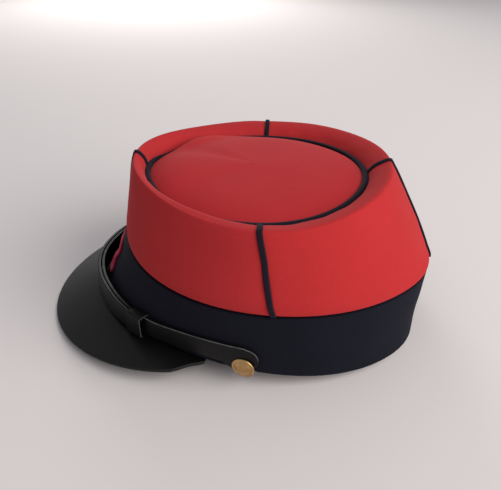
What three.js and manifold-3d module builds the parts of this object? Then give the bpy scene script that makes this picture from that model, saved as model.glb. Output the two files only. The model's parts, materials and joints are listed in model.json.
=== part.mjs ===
// A kepi: a stiff cloth cap with a sunken round top, a dark band, a drooping leather peak
// and a leather chin strap laid over the root of the peak between two brass buttons.
//
// The cap is drawn in its own frame: X to the wearer's left, Y to the back and Z up, with the
// origin in the middle of the band's lower edge. The last lines set it down on a flat surface,
// where it rests on the tip of its peak and on the back of its band.
// An angle round the head is in degrees: 0 is the front, 90 the left side and 180 the back.
import * as THREE from "three";
import { mergeVertices } from "three/addons/utils/BufferGeometryUtils.js";
import Module from "manifold-3d";

const wasm = await Module();
wasm.setup();

// ---- Driving dimensions, in millimetres and degrees ----

const GAP = 0.3; // between neighbouring pieces
const SAME_POINT = 1e-4; // points closer than this are one

// Small steps to either side of a point, for the directions along a curve or a face.
const NUDGE = { degrees: 0.1, widerDegrees: 0.5, share: 0.01, height: 1 };

// Four level curves carry the whole cap. Each is an egg-shaped oval round the head: shift moves
// it to the back, egg narrows the front, point sharpens both ends, corner swells it a little on
// both sides of the back, tilt raises the back, saddle raises front and back, and sag lowers the
// cloth where it has given way on the left of the front.
const FOOT = {
  halfLength: 101, halfWidth: 85.3, shift: 0, egg: 0.093, point: 0, corner: 0.018,
  height: 0, tilt: 0, saddle: -1.1, sag: 0,
};
const SEAM = {
  halfLength: 92.5, halfWidth: 91.8, shift: 5.8, egg: -0.047, point: -0.018, corner: 0.018,
  height: 43.6, tilt: 3.9, saddle: 0.2, sag: 0,
};
const RIM = {
  halfLength: 74.5, halfWidth: 74.8, shift: -10, egg: 0.08, point: 0.052, corner: 0,
  height: 88.1, tilt: 7.2, saddle: 2.9, sag: 0,
};
const RING = {
  halfLength: 64.3, halfWidth: 59.9, shift: -12.5, egg: 0.066, point: 0.042, corner: 0,
  height: 79.9, tilt: 6.3, saddle: 1.6, sag: 1.6,
};
const CORNER = { angle: 155, spread: 16 }; // where the corners of the back are, and how wide
const SAG = { angle: 48, spread: 22 }; // where the ring sags, and how wide

const BAND = { wall: 2.6, stepDegrees: 5, rows: 3 };

const CROWN = { wall: 1.8, stepsPerPanel: 12, halfJointDegrees: 0.14 };
// The side seam leans back as it climbs: its angle at the band and at the ring.
const SIDE_SEAM = { atBand: 89, atRing: 93.9 };
// The rear seam wanders off the middle of the back below the rim, to the left: by how many degrees
// at the band, and how late.
const REAR_SEAM = { atRim: 180, wander: 13, power: 2.5 };

// The crown's section from its hem, tucked inside the band, up over the rolled rim and down to
// the ring. climb 0 is the band's seam, 1 the rim and 2 the ring; out and up move off that line.
const CROWN_SECTION = [
  { name: "hem", climb: 0, out: -4, up: -7 },
  { name: "tuck", climb: 0, out: -3.2, up: -0.1 },
  { name: "crease", climb: 0, out: -2, up: 0.9 },
  { name: "lip", climb: 0, out: 0, up: 1.9 },
  { name: "belly", climb: 0.12, out: 1.5, up: 0 },
  { name: "lower wall", climb: 0.35, out: 2, up: 0 },
  { name: "upper wall", climb: 0.65, out: 1.8, up: 0 },
  { name: "shoulder", climb: 0.88, out: 1.5, up: 0 },
  { name: "outer roll", climb: 0.97, out: 0.9, up: 0.2 },
  { name: "crest", climb: 1.05, out: 0, up: 0.9 },
  { name: "inner roll", climb: 1.35, out: 0, up: 2 },
  { name: "fall", climb: 1.6, out: 0, up: 2 },
  { name: "inner fall", climb: 1.77, out: 0.3, up: 1.4 },
  { name: "groove", climb: 1.9, out: 0.6, up: 0.4 },
  { name: "tail", climb: 2, out: 0.8, up: -3 },
];

const DISK = {
  wall: 1.8,
  stepDegrees: 7.5,
  shares: [0, 0.35, 0.65, 0.82, 0.92, 0.97, 1], // its rings, from the middle to the edge
  edgeInset: 1.6, // from the ring to the edge
  skirt: 3, // how far the edge turns down
  flare: 0.4, // how far the skirt leans out
  domeRise: 6,
  domePower: 6,
  puff: 0.3, // how much higher the dome stands towards puffAngle
  puffAngle: -50,
};

const RING_BRAID = { halfWidth: 1.3, halfHeight: 1.1, up: 1.1, stepDegrees: 7.5, sides: 6 };
const SEAM_BRAID = { halfWidth: 1.5, thickness: 1.1, foot: 3, top: 12 }; // foot and top: section rows

const PEAK = {
  halfAngle: 74, // where its horns end
  reach: 38.6, // from the band to the edge, at the front
  crescent: 0.54, // how fast the reach falls towards the horns
  droop: 28.6, // slope at the front
  hornDroop: 1, // slope at the horns
  curl: 8, // how much steeper the edge is than the root
  squareness: 0.12, // how far it points forward instead of straight away from the head
  wall: 2.4,
  root: 3, // length of the root tucked under the band
  drop: 0.4, // how far the root lies below the band's foot
  steps: 32,
  rows: 4,
  arcPieces: 8, // pieces that make up the arc from root to edge
  horn: 0.995, // share of the half angle at which it is cut off
};

// The chin strap's course round the front, from the right button to the left one: its lower and
// upper edges above the band's foot, and how far each edge stands off the band.
const STRAP_COURSE = [
  { at: -86, low: 5.8, high: 19, standLow: 0, standHigh: 0 },
  { at: -72, low: 5.4, high: 18.6, standLow: 0, standHigh: 0 },
  { at: -62, low: 4, high: 17.4, standLow: 0.4, standHigh: 0.6 },
  { at: -52, low: 2.6, high: 16, standLow: 1.6, standHigh: 1.9 },
  { at: -41, low: 0.6, high: 14.4, standLow: 1.8, standHigh: 3.2 },
  { at: -26, low: -1.1, high: 13.2, standLow: 2.2, standHigh: 6 },
  { at: -12, low: -1.5, high: 12.2, standLow: 2.3, standHigh: 7 },
  { at: 0, low: -1.5, high: 11.6, standLow: 2.1, standHigh: 6.8 },
  { at: 12, low: -1.2, high: 11.6, standLow: 1.6, standHigh: 5 },
  { at: 26, low: -0.5, high: 12.2, standLow: 1.5, standHigh: 2.8 },
  { at: 41, low: 0.8, high: 13.2, standLow: 1.6, standHigh: 1.8 },
  { at: 52, low: 2.6, high: 15.2, standLow: 1.6, standHigh: 1.6 },
  { at: 62, low: 4.2, high: 17.2, standLow: 0.4, standHigh: 0.4 },
  { at: 72, low: 5.4, high: 18.5, standLow: 0, standHigh: 0 },
  { at: 86, low: 5.8, high: 19, standLow: 0, standHigh: 0 },
];
const STRAP = {
  thickness: 2,
  steps: 34,
  pastLoop: 2, // degrees by which the hidden end passes the far loop
  endAngle: 84.1,
  endHeight: 8.5,
  endRadius: 9.9,
  endDrop: 6.4, // how far the end reaches below its middle
  endSwing: [-70, 80], // the turn round the end, in degrees
  endSteps: 8,
  loopAngle: 47,
  crossing: [52, 66], // between these angles the outer of the two straps comes down to the band
};
const LOOP = { halfDegrees: 3.4, skewDegrees: 3, wall: 1.1, clearance: 0.35, steps: 3 };

const BUTTON = {
  angle: 86,
  height: 5.6,
  radius: 6.5,
  rim: 1.2,
  bevel: 0.3,
  dome: 1.8,
  domeSwings: [72, 48, 24], // the dome's rings, in degrees from its top
  shankRadius: 1.5,
  steps: 24,
};
const SHANK_HOLE = { length: 24, sides: 16 };

// A plain four-lobed ring of red cloth on the front of the band.
const BADGE = {
  height: 19,
  radius: 12.8,
  lobes: 4,
  lobe: 0.26, // how deep the lobes are, as a share of the radius
  wide: 1.25,
  tall: 0.85,
  stroke: 4.2,
  thickness: 1,
  steps: 48,
};

const FLATTENING = 0.8; // depth to which cloth and leather are pressed flat where they rest

const RED_CLOTH = new THREE.MeshStandardMaterial({ color: 0xb3262c, roughness: 0.95, metalness: 0 });
const NAVY_CLOTH = new THREE.MeshStandardMaterial({ color: 0x171a2b, roughness: 0.95, metalness: 0 });
const NAVY_BRAID = new THREE.MeshStandardMaterial({ color: 0x1c1830, roughness: 0.85, metalness: 0 });
const BLACK_LEATHER = new THREE.MeshStandardMaterial({ color: 0x121212, roughness: 0.45, metalness: 0 });
const BRASS = new THREE.MeshStandardMaterial({ color: 0xb08a4a, roughness: 0.35, metalness: 1 });

// ---- Curves round the head ----

const UP = new THREE.Vector3(0, 0, 1);
const radians = THREE.MathUtils.degToRad;
const mix = THREE.MathUtils.lerp;

// The same angle, from -180 to 180 degrees.
function signedAngle(angle) {
  return angle - 360 * Math.round(angle / 360);
}

// The point of a level curve at an angle round the head.
function levelPoint(level, angle) {
  const a = radians(angle);
  const fromFront = Math.acos(Math.cos(a)) / radians(1);
  const swell = 1 + level.corner * Math.exp(-(((fromFront - CORNER.angle) / CORNER.spread) ** 2));
  const narrowing = 1 - level.egg * Math.cos(a) - level.point * Math.cos(2 * a);
  const sunk = level.sag * Math.exp(-(((signedAngle(angle) - SAG.angle) / SAG.spread) ** 2));
  return new THREE.Vector3(
    swell * narrowing * level.halfWidth * Math.sin(a),
    level.shift - swell * level.halfLength * Math.cos(a),
    level.height - level.tilt * Math.cos(a) + level.saddle * Math.cos(2 * a) - sunk,
  );
}

// The level direction that points straight out of the head from a level curve.
function outward(level, angle) {
  const along = levelPoint(level, angle + NUDGE.degrees).sub(levelPoint(level, angle - NUDGE.degrees));
  return new THREE.Vector3(along.y, -along.x, 0).normalize();
}

// A point between two level curves, moved out and up by millimetres.
function between(lower, upper, share, angle, out, up) {
  const direction = outward(lower, angle).lerp(outward(upper, angle), share).normalize();
  return levelPoint(lower, angle)
    .lerp(levelPoint(upper, angle), share)
    .addScaledVector(direction, out)
    .addScaledVector(UP, up);
}

// The band's outer face: height in millimetres above its foot, out in millimetres off the face.
function bandPoint(angle, height, out) {
  const climb = levelPoint(SEAM, angle).sub(levelPoint(FOOT, angle));
  return levelPoint(FOOT, angle)
    .addScaledVector(climb, height / climb.z)
    .addScaledVector(outward(FOOT, angle), out);
}

// The crown's outer face at one row of its section.
function crownPoint(row, angle) {
  return row.climb <= 1
    ? between(SEAM, RIM, row.climb, angle, row.out, row.up)
    : between(RIM, RING, row.climb - 1, angle, row.out, row.up);
}

// The unit normal of a face, from the point function's neighbours along both of its directions.
function faceNormal(alongA, alongB) {
  return alongA.clone().cross(alongB).normalize();
}

// ---- Solids ----

// A closed geometry from rows of points on an outer and an inner face. Each face is a grid with
// equal rows. A ring joins its last row to its first; any other wall is closed at both ends.
function wallGeometry(outer, inner, isRing) {
  const rows = outer.length;
  const columns = outer[0].length;
  const points = [...outer.flat(), ...inner.flat()];
  const at = (face, row, column) => (face * rows + (row % rows)) * columns + column;
  const triangles = [];
  const quad = (a, b, c, d) => triangles.push(a, b, c, a, c, d);
  for (let row = 0; row < (isRing ? rows : rows - 1); row++) {
    for (let column = 0; column < columns - 1; column++) {
      quad(at(0, row, column), at(0, row + 1, column), at(0, row + 1, column + 1), at(0, row, column + 1));
      quad(at(1, row, column), at(1, row, column + 1), at(1, row + 1, column + 1), at(1, row + 1, column));
    }
    quad(at(0, row, 0), at(1, row, 0), at(1, row + 1, 0), at(0, row + 1, 0));
    const last = columns - 1;
    quad(at(0, row, last), at(0, row + 1, last), at(1, row + 1, last), at(1, row, last));
  }
  if (!isRing)
    for (let column = 0; column < columns - 1; column++) {
      quad(at(0, 0, column), at(0, 0, column + 1), at(1, 0, column + 1), at(1, 0, column));
      const end = rows - 1;
      quad(at(0, end, column), at(1, end, column), at(1, end, column + 1), at(0, end, column + 1));
    }
  return closedGeometry(points, triangles);
}

// Merges shared points, drops collapsed triangles and turns the faces outwards.
function closedGeometry(points, triangles) {
  const loose = new THREE.BufferGeometry().setFromPoints(points).setIndex(triangles);
  const merged = mergeVertices(loose, SAME_POINT);
  const index = Array.from(merged.index.array);
  const position = merged.attributes.position;
  const corner = (i) => new THREE.Vector3().fromBufferAttribute(position, i);
  const kept = [];
  let volume = 0;
  for (let i = 0; i < index.length; i += 3) {
    const [a, b, c] = index.slice(i, i + 3);
    if (a === b || b === c || c === a) continue;
    kept.push(a, b, c);
    volume += corner(a).dot(corner(b).cross(corner(c)));
  }
  return merged.setIndex(volume > 0 ? kept : kept.reverse());
}

function toManifold(geometry) {
  const bare = new THREE.BufferGeometry().setAttribute("position", geometry.attributes.position);
  const merged = mergeVertices(bare.setIndex(geometry.index), SAME_POINT);
  return new wasm.Manifold(
    new wasm.Mesh({
      numProp: 3,
      vertProperties: new Float32Array(merged.attributes.position.array),
      triVerts: new Uint32Array(merged.index.array),
    }),
  );
}

function toGeometry(manifold) {
  const mesh = manifold.getMesh();
  return new THREE.BufferGeometry()
    .setAttribute("position", new THREE.BufferAttribute(mesh.vertProperties, 3))
    .setIndex(new THREE.BufferAttribute(mesh.triVerts, 1));
}

function cut(geometry, tool) {
  return toGeometry(toManifold(geometry).subtract(toManifold(tool)));
}

// Evenly spaced numbers from first to last.
function spread(first, last, steps) {
  return Array.from({ length: steps + 1 }, (_, i) => mix(first, last, i / steps));
}

// ---- Band and crown ----

function bandGeometry() {
  const angles = spread(0, 360, 360 / BAND.stepDegrees).slice(0, -1);
  const face = (depth) =>
    angles.map((angle) => {
      const top = levelPoint(SEAM, angle).z - levelPoint(FOOT, angle).z;
      return spread(0, top, BAND.rows).map((height) => bandPoint(angle, height, -depth));
    });
  return wallGeometry(face(0), face(BAND.wall), true);
}

// The seam angle on the wearer's left at one row of the crown's section.
function sideSeamAngle(row) {
  return mix(SIDE_SEAM.atBand, SIDE_SEAM.atRing, row.climb / 2);
}

// One of the crown's four cloth panels, between two seams. Each edge is a function of the row.
function crownPanelGeometry(startAngle, endAngle) {
  const rows = CROWN_SECTION;
  const pointAt = (share, row) => {
    const start = startAngle(row) + CROWN.halfJointDegrees;
    const end = endAngle(row) - CROWN.halfJointDegrees;
    return crownPoint(row, mix(start, end, share));
  };
  const faces = spread(0, 1, CROWN.stepsPerPanel).map((share) =>
    rows.map((row, i) => {
      const along = pointAt(share + NUDGE.share, row).sub(pointAt(share - NUDGE.share, row));
      const next = pointAt(share, rows[Math.min(i + 1, rows.length - 1)]);
      const climb = next.sub(pointAt(share, rows[Math.max(i - 1, 0)]));
      const outer = pointAt(share, row);
      return { outer, inner: outer.clone().addScaledVector(faceNormal(along, climb), -CROWN.wall) };
    }),
  );
  const outer = faces.map((line) => line.map((point) => point.outer));
  const inner = faces.map((line) => line.map((point) => point.inner));
  return wallGeometry(outer, inner, false);
}

// The sunken top: a shallow dome, flat in the middle, whose edge turns down inside the ring.
// share is 0 in the middle and 1 at the edge.
function diskPoint(angle, share) {
  const middle = new THREE.Vector3(0, RING.shift, RING.height + RING.saddle / 2);
  const edge = between(RING, RING, 0, angle, -DISK.edgeInset, 0);
  const puff = 1 + DISK.puff * share * Math.cos(radians(angle - DISK.puffAngle));
  const rise = DISK.domeRise * (1 - share ** DISK.domePower) * puff;
  return middle.lerp(edge, share).addScaledVector(UP, rise);
}

function diskGeometry() {
  const angles = spread(0, 360, 360 / DISK.stepDegrees).slice(0, -1);
  const skirt = (angle, out) => between(RING, RING, 0, angle, out, -DISK.skirt);
  const outer = angles.map((angle) => [
    ...DISK.shares.map((share) => diskPoint(angle, share)),
    skirt(angle, DISK.flare - DISK.edgeInset),
  ]);
  const inner = angles.map((angle) => [
    ...DISK.shares.map((share) =>
      diskPoint(angle, share * (1 - DISK.wall / RING.halfWidth)).addScaledVector(UP, -DISK.wall),
    ),
    skirt(angle, -DISK.edgeInset - DISK.wall),
  ]);
  return wallGeometry(outer, inner, true);
}

// ---- Braid ----

function ringBraidGeometry() {
  const angles = spread(0, 360, 360 / RING_BRAID.stepDegrees).slice(0, -1);
  const face = (side) =>
    angles.map((angle) =>
      spread(0, 180, RING_BRAID.sides / 2).map((turn) => {
        const out = -RING_BRAID.halfWidth * Math.cos(radians(turn));
        const up = RING_BRAID.up + side * RING_BRAID.halfHeight * Math.sin(radians(turn));
        return between(RING, RING, 0, angle, out, up);
      }),
    );
  return wallGeometry(face(1), face(-1), true);
}

// A flat braid laid over a seam of the crown, from just above the band to just outside the ring.
function seamBraidGeometry(seamAngle) {
  const rows = CROWN_SECTION.slice(SEAM_BRAID.foot, SEAM_BRAID.top + 1);
  const edge = (row, side, lift) => {
    const angle = seamAngle(row);
    const nudged = [NUDGE.widerDegrees, -NUDGE.widerDegrees].map((step) => crownPoint(row, angle + step));
    const across = nudged[0].sub(nudged[1]).normalize();
    const i = CROWN_SECTION.indexOf(row);
    const before = CROWN_SECTION[i - 1];
    const after = CROWN_SECTION[i + 1];
    const climb = crownPoint(after, seamAngle(after)).sub(crownPoint(before, seamAngle(before)));
    return crownPoint(row, angle)
      .addScaledVector(across, side * SEAM_BRAID.halfWidth)
      .addScaledVector(faceNormal(across, climb), lift);
  };
  const face = (lift) => rows.map((row) => [-1, 0, 1].map((side) => edge(row, side, lift)));
  return wallGeometry(face(GAP + SEAM_BRAID.thickness), face(GAP), false);
}

// ---- Peak ----

// A point of the peak's upper face: share 0 at the band and 1 at the edge; angle round the head.
function peakPoint(angle, share) {
  const turn = angle / PEAK.halfAngle;
  const reach = PEAK.reach * Math.max(1 - turn * turn, 0) ** PEAK.crescent;
  const slope = mix(PEAK.droop, PEAK.hornDroop, turn * turn);
  const direction = outward(FOOT, angle)
    .multiplyScalar(1 - PEAK.squareness)
    .add(new THREE.Vector3(0, -PEAK.squareness, 0))
    .normalize();
  // The slope grows evenly from root to edge, so the section is an arc; half-way slopes sum it.
  const point = levelPoint(FOOT, angle).addScaledVector(UP, -PEAK.drop);
  for (let i = 0; i < PEAK.arcPieces; i++) {
    const middle = ((i + 0.5) / PEAK.arcPieces) * share;
    const tilt = radians(slope + PEAK.curl * (middle - 0.5));
    const step = (reach * share) / PEAK.arcPieces;
    point.addScaledVector(direction, step * Math.cos(tilt)).addScaledVector(UP, -step * Math.sin(tilt));
  }
  return point;
}

function peakUnderPoint(angle, share) {
  const along = peakPoint(angle + NUDGE.degrees, share).sub(peakPoint(angle - NUDGE.degrees, share));
  const nearer = peakPoint(angle, Math.max(share - NUDGE.share, 0));
  const away = peakPoint(angle, share + NUDGE.share).sub(nearer);
  return peakPoint(angle, share).addScaledVector(faceNormal(along, away), PEAK.wall);
}

function peakGeometry() {
  const end = PEAK.halfAngle * PEAK.horn;
  // Angles bunch up towards the horns, where the reach changes fastest.
  const angles = spread(-90, 90, PEAK.steps).map((turn) => end * Math.sin(radians(turn)));
  const shares = spread(0, 1, PEAK.rows);
  const root = (angle, drop) =>
    levelPoint(FOOT, angle)
      .addScaledVector(outward(FOOT, angle), -PEAK.root)
      .addScaledVector(UP, -PEAK.drop - drop);
  const upper = angles.map((angle) => [root(angle, 0), ...shares.map((share) => peakPoint(angle, share))]);
  const under = angles.map((angle) => [
    root(angle, PEAK.wall),
    ...shares.map((share) => peakUnderPoint(angle, share)),
  ]);
  return wallGeometry(upper, under, false);
}

// ---- Chin strap ----

// The strap's course at any angle, straight between the rows of its table.
function strapCourse(angle) {
  const inside = THREE.MathUtils.clamp(angle, STRAP_COURSE[0].at, STRAP_COURSE.at(-1).at);
  const next = Math.max(1, STRAP_COURSE.findIndex((row) => row.at >= inside));
  const a = STRAP_COURSE[next - 1];
  const b = STRAP_COURSE[next];
  const share = (inside - a.at) / (b.at - a.at);
  return {
    low: mix(a.low, b.low, share),
    high: mix(a.high, b.high, share),
    standLow: mix(a.standLow, b.standLow, share),
    standHigh: mix(a.standHigh, b.standHigh, share),
  };
}

// Millimetres along the band's foot for each degree round the head.
function mmPerDegree(angle) {
  const step = NUDGE.widerDegrees;
  return levelPoint(FOOT, angle + step).distanceTo(levelPoint(FOOT, angle - step)) / (2 * step);
}

// One of the two straps. side is 1 for the left, which lies next to the band all the way, and
// -1 for the right, which lies outside the left one between the loops. turn counts degrees
// towards the strap's own button.
function strapGeometry(side) {
  const endDegrees = STRAP.endRadius / mmPerDegree(STRAP.endAngle);
  const straight = spread(-STRAP.loopAngle - STRAP.pastLoop, STRAP.endAngle - endDegrees, STRAP.steps);
  const round = spread(...STRAP.endSwing, STRAP.endSteps).map(
    (swing) => STRAP.endAngle + endDegrees * Math.sin(radians(swing)),
  );
  const turns = [...straight, ...round];
  const edges = turns.map((turn) => {
    const course = strapCourse(side * turn);
    const reach = (turn - STRAP.endAngle) / endDegrees;
    const fullness = Math.sqrt(Math.max(0, 1 - reach * reach));
    const endLow = STRAP.endHeight - STRAP.endDrop * fullness;
    const endHigh = STRAP.endHeight + STRAP.endRadius * fullness;
    const low = reach > 0 ? endLow : Math.min(course.low, endLow);
    const high = reach > 0 ? endHigh : Math.max(course.high, endHigh);
    return { turn, ...course, low, high };
  });
  const layer = (turn) => {
    if (side > 0) return 0;
    const [above, below] = STRAP.crossing;
    const outside = 1 - THREE.MathUtils.smoothstep(turn, above, below);
    return outside * (STRAP.thickness + GAP);
  };
  const face = (depth) =>
    edges.map(({ turn, low, high, standLow, standHigh }) => {
      const off = GAP + depth + layer(turn);
      return [
        bandPoint(side * turn, low, standLow + off),
        bandPoint(side * turn, high, standHigh + off),
      ];
    });
  return wallGeometry(face(STRAP.thickness), face(0), false);
}

// A leather loop round both straps, near one end of the right (side 1) or left (side -1) strap.
// It sits a little askew, with its lower edge further back.
function loopGeometry(side) {
  const middle = side * STRAP.loopAngle;
  const angles = spread(middle - LOOP.halfDegrees, middle + LOOP.halfDegrees, LOOP.steps);
  const inside = 2 * STRAP.thickness + GAP;
  const face = (grow) => {
    const corner = (square, isHigh, isOuter) => {
      const angle = square + (side * (isHigh ? -LOOP.skewDegrees : LOOP.skewDegrees)) / 2;
      const course = strapCourse(angle);
      const stand = isHigh ? course.standHigh : course.standLow;
      const height = isHigh ? course.high + grow : course.low - grow;
      return bandPoint(angle, height, GAP + stand + (isOuter ? inside + grow : -grow));
    };
    return [
      angles.map((angle) => corner(angle, false, false)),
      angles.map((angle) => corner(angle, false, true)),
      angles.map((angle) => corner(angle, true, true)),
      angles.map((angle) => corner(angle, true, false)),
    ];
  };
  return wallGeometry(face(LOOP.clearance + LOOP.wall), face(LOOP.clearance), true);
}

// ---- Buttons ----

// The place of a button on the band's outer face, and the direction straight out of it.
function buttonSeat(side) {
  const angle = side * BUTTON.angle;
  const at = (turn, rise) => bandPoint(angle + turn, BUTTON.height + rise, 0);
  const along = at(NUDGE.widerDegrees, 0).sub(at(-NUDGE.widerDegrees, 0));
  const climb = at(0, NUDGE.height).sub(at(0, -NUDGE.height));
  return { point: at(0, 0), normal: faceNormal(along, climb) };
}

// A domed button on a shank that goes through the strap and the band, turned about +Y.
function buttonGeometry() {
  const under = STRAP.thickness + 2 * GAP;
  const top = under + BUTTON.rim;
  const { bevel } = BUTTON;
  const profile = [
    [0, -BAND.wall],
    [BUTTON.shankRadius, -BAND.wall],
    [BUTTON.shankRadius, under],
    [BUTTON.radius - bevel, under],
    [BUTTON.radius, under + bevel],
    [BUTTON.radius, top - bevel],
    ...BUTTON.domeSwings.map((swing) => [
      (BUTTON.radius - bevel) * Math.sin(radians(swing)),
      top + BUTTON.dome * Math.cos(radians(swing)),
    ]),
    [0, top + BUTTON.dome],
  ];
  const points = profile.map(([radius, height]) => new THREE.Vector2(radius, height));
  return new THREE.LatheGeometry(points, BUTTON.steps);
}

// The room that a shank needs in the strap and in the band.
function shankHole(side) {
  const seat = buttonSeat(side);
  const radius = BUTTON.shankRadius + GAP;
  const tool = new THREE.CylinderGeometry(radius, radius, SHANK_HOLE.length, SHANK_HOLE.sides);
  tool.applyQuaternion(new THREE.Quaternion().setFromUnitVectors(new THREE.Vector3(0, 1, 0), seat.normal));
  return tool.translate(...seat.point);
}

// ---- Badge ----

function badgeGeometry() {
  const turns = spread(0, 360, BADGE.steps).slice(0, -1);
  const face = (out) =>
    turns.map((turn) => {
      const a = radians(turn);
      const lobed = BADGE.radius * (1 - BADGE.lobe * Math.cos(BADGE.lobes * a));
      return [lobed - BADGE.stroke / 2, lobed + BADGE.stroke / 2].map((radius) =>
        bandPoint(
          (BADGE.wide * radius * Math.cos(a)) / mmPerDegree(0),
          BADGE.height + BADGE.tall * radius * Math.sin(a),
          out,
        ),
      );
    });
  return wallGeometry(face(GAP + BADGE.thickness), face(GAP), true);
}

// ---- The cap ----

const hat = new THREE.Group();

function add(name, geometry, material) {
  const mesh = new THREE.Mesh(geometry, material);
  mesh.name = name;
  hat.add(mesh);
  return mesh;
}

const front = () => 0;
const left = (row) => sideSeamAngle(row);
const back = (row) => REAR_SEAM.atRim - REAR_SEAM.wander * Math.max(0, 1 - row.climb) ** REAR_SEAM.power;
const right = (row) => 360 - sideSeamAngle(row);
const wholeTurn = () => 360;

add("crown_panel_front_left", crownPanelGeometry(front, left), RED_CLOTH);
add("crown_panel_rear_left", crownPanelGeometry(left, back), RED_CLOTH);
add("crown_panel_rear_right", crownPanelGeometry(back, right), RED_CLOTH);
add("crown_panel_front_right", crownPanelGeometry(right, wholeTurn), RED_CLOTH);
add("crown_disk", diskGeometry(), RED_CLOTH);

add("ring_braid", ringBraidGeometry(), NAVY_BRAID);
add("seam_braid_front", seamBraidGeometry(front), NAVY_BRAID);
add("seam_braid_left", seamBraidGeometry(left), NAVY_BRAID);
add("seam_braid_rear", seamBraidGeometry(back), NAVY_BRAID);
add("seam_braid_right", seamBraidGeometry(right), NAVY_BRAID);

const bandWithHoles = cut(cut(bandGeometry(), shankHole(1)), shankHole(-1));
const band = add("band", bandWithHoles, NAVY_CLOTH);
add("front_badge", badgeGeometry(), RED_CLOTH);
const peak = add("peak", peakGeometry(), BLACK_LEATHER);

add("chin_strap_left", cut(strapGeometry(1), shankHole(1)), BLACK_LEATHER);
add("chin_strap_right", cut(strapGeometry(-1), shankHole(-1)), BLACK_LEATHER);
add("strap_loop_left", loopGeometry(1), BLACK_LEATHER);
add("strap_loop_right", loopGeometry(-1), BLACK_LEATHER);

for (const [name, side] of [["button_left", 1], ["button_right", -1]]) {
  const button = add(name, buttonGeometry(), BRASS);
  const seat = buttonSeat(side);
  button.position.copy(seat.point);
  button.quaternion.setFromUnitVectors(new THREE.Vector3(0, 1, 0), seat.normal);
}

// Set down on a flat surface, the cap leans back until the tip of the peak and the back of the
// band touch it, and its soft edges are pressed flat there. The origin is on that surface, under
// the middle of the cap.
const tip = peakUnderPoint(0, 1);
const heel = levelPoint(FOOT, 180);
hat.rotation.x = -Math.atan2(heel.z - tip.z, heel.y - tip.y);
hat.updateMatrixWorld(true);

const extent = new THREE.Box3().setFromObject(hat, true);
const surface = extent.min.z + FLATTENING;
const SLAB = { side: 500, depth: 40 };
const slab = new THREE.BoxGeometry(SLAB.side, SLAB.side, SLAB.depth)
  .translate(0, 0, surface - SLAB.depth / 2)
  .applyMatrix4(hat.matrixWorld.clone().invert());
for (const piece of [band, peak]) piece.geometry = cut(piece.geometry, slab);
hat.position.set(0, -extent.getCenter(new THREE.Vector3()).y, -surface);

const kepi = new THREE.Group();
kepi.add(hat);

export default kepi;
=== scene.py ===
"""A kepi: fulled red and navy wool, plaited braid, black leather and two plain brass buttons.

The cap is worked out in its own frame, in millimetres: X to the wearer's left, Y to the back and Z up
from the middle of the band's lower edge. An angle round the head is in degrees, from 0 at the front
through 90 on the left to 180 at the back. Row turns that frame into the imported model's, in metres.
"""
import json

import bmesh
import bpy
import numpy as np
from mathutils import Matrix, Vector


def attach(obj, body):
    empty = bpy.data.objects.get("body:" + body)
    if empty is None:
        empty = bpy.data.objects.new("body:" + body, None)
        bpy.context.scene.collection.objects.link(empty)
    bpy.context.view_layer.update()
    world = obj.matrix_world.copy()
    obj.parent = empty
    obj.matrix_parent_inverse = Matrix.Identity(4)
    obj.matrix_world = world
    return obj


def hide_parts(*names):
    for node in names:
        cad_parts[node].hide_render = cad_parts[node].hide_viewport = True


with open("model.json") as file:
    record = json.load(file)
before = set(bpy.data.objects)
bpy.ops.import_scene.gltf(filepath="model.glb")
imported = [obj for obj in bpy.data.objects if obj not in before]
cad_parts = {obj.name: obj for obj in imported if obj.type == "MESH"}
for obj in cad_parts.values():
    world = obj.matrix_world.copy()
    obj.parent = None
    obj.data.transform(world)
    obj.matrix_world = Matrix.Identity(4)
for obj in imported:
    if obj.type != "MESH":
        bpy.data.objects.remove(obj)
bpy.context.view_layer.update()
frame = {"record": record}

MM = 0.001
GAP = 0.3  # between neighbouring pieces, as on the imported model

# ---- Driving dimensions, in millimetres and degrees ----

# Four level curves carry the cap. Each is an egg-shaped oval round the head: shift moves it to the
# back, egg narrows the front, point sharpens both ends, corner swells it a little on both sides of
# the back, tilt raises the back and saddle raises front and back. Where sag is 1, the cloth has
# given way in places.
FOOT = dict(half_length=101, half_width=85.3, shift=0, egg=0.093, point=0, corner=0.018,
            height=0, tilt=0, saddle=-1.1, sag=0)
SEAM = dict(half_length=92.5, half_width=91.8, shift=5.8, egg=-0.047, point=-0.018, corner=0.018,
            height=43.6, tilt=3.9, saddle=0.2, sag=0)
RIM = dict(half_length=74.5, half_width=74.8, shift=-10, egg=0.08, point=0.052, corner=0,
           height=88.1, tilt=7.2, saddle=2.9, sag=0)
RING = dict(half_length=64.3, half_width=59.9, shift=-12.5, egg=0.066, point=0.042, corner=0,
            height=79.9, tilt=6.3, saddle=1.6, sag=1)
CORNER = dict(angle=155, spread=16)  # where the corners of the back are, and how wide
# Where the ring sags, how wide and how deep.
SAGS = (dict(angle=48, spread=22, depth=1.6), dict(angle=-29, spread=14, depth=2.0))

BAND = dict(wall=2.6, hem=1.25, top_fold=0.6, uneven=0.35, free_from=(1, 8), free_to=(30, 40),
            join_depth=0.35, join_spread=0.4)
HOLLOW = dict(angle=160, spread=26, height=19, tall=17, depth=1.1)  # where the band has sunk in
CROWN = dict(wall=1.8, half_joint=0.14)
SIDE_SEAM = dict(at_band=89, at_ring=93.9)
REAR_SEAM = dict(at_rim=180, wander=13, power=2.5)  # it wanders to the left below the rim

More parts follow.
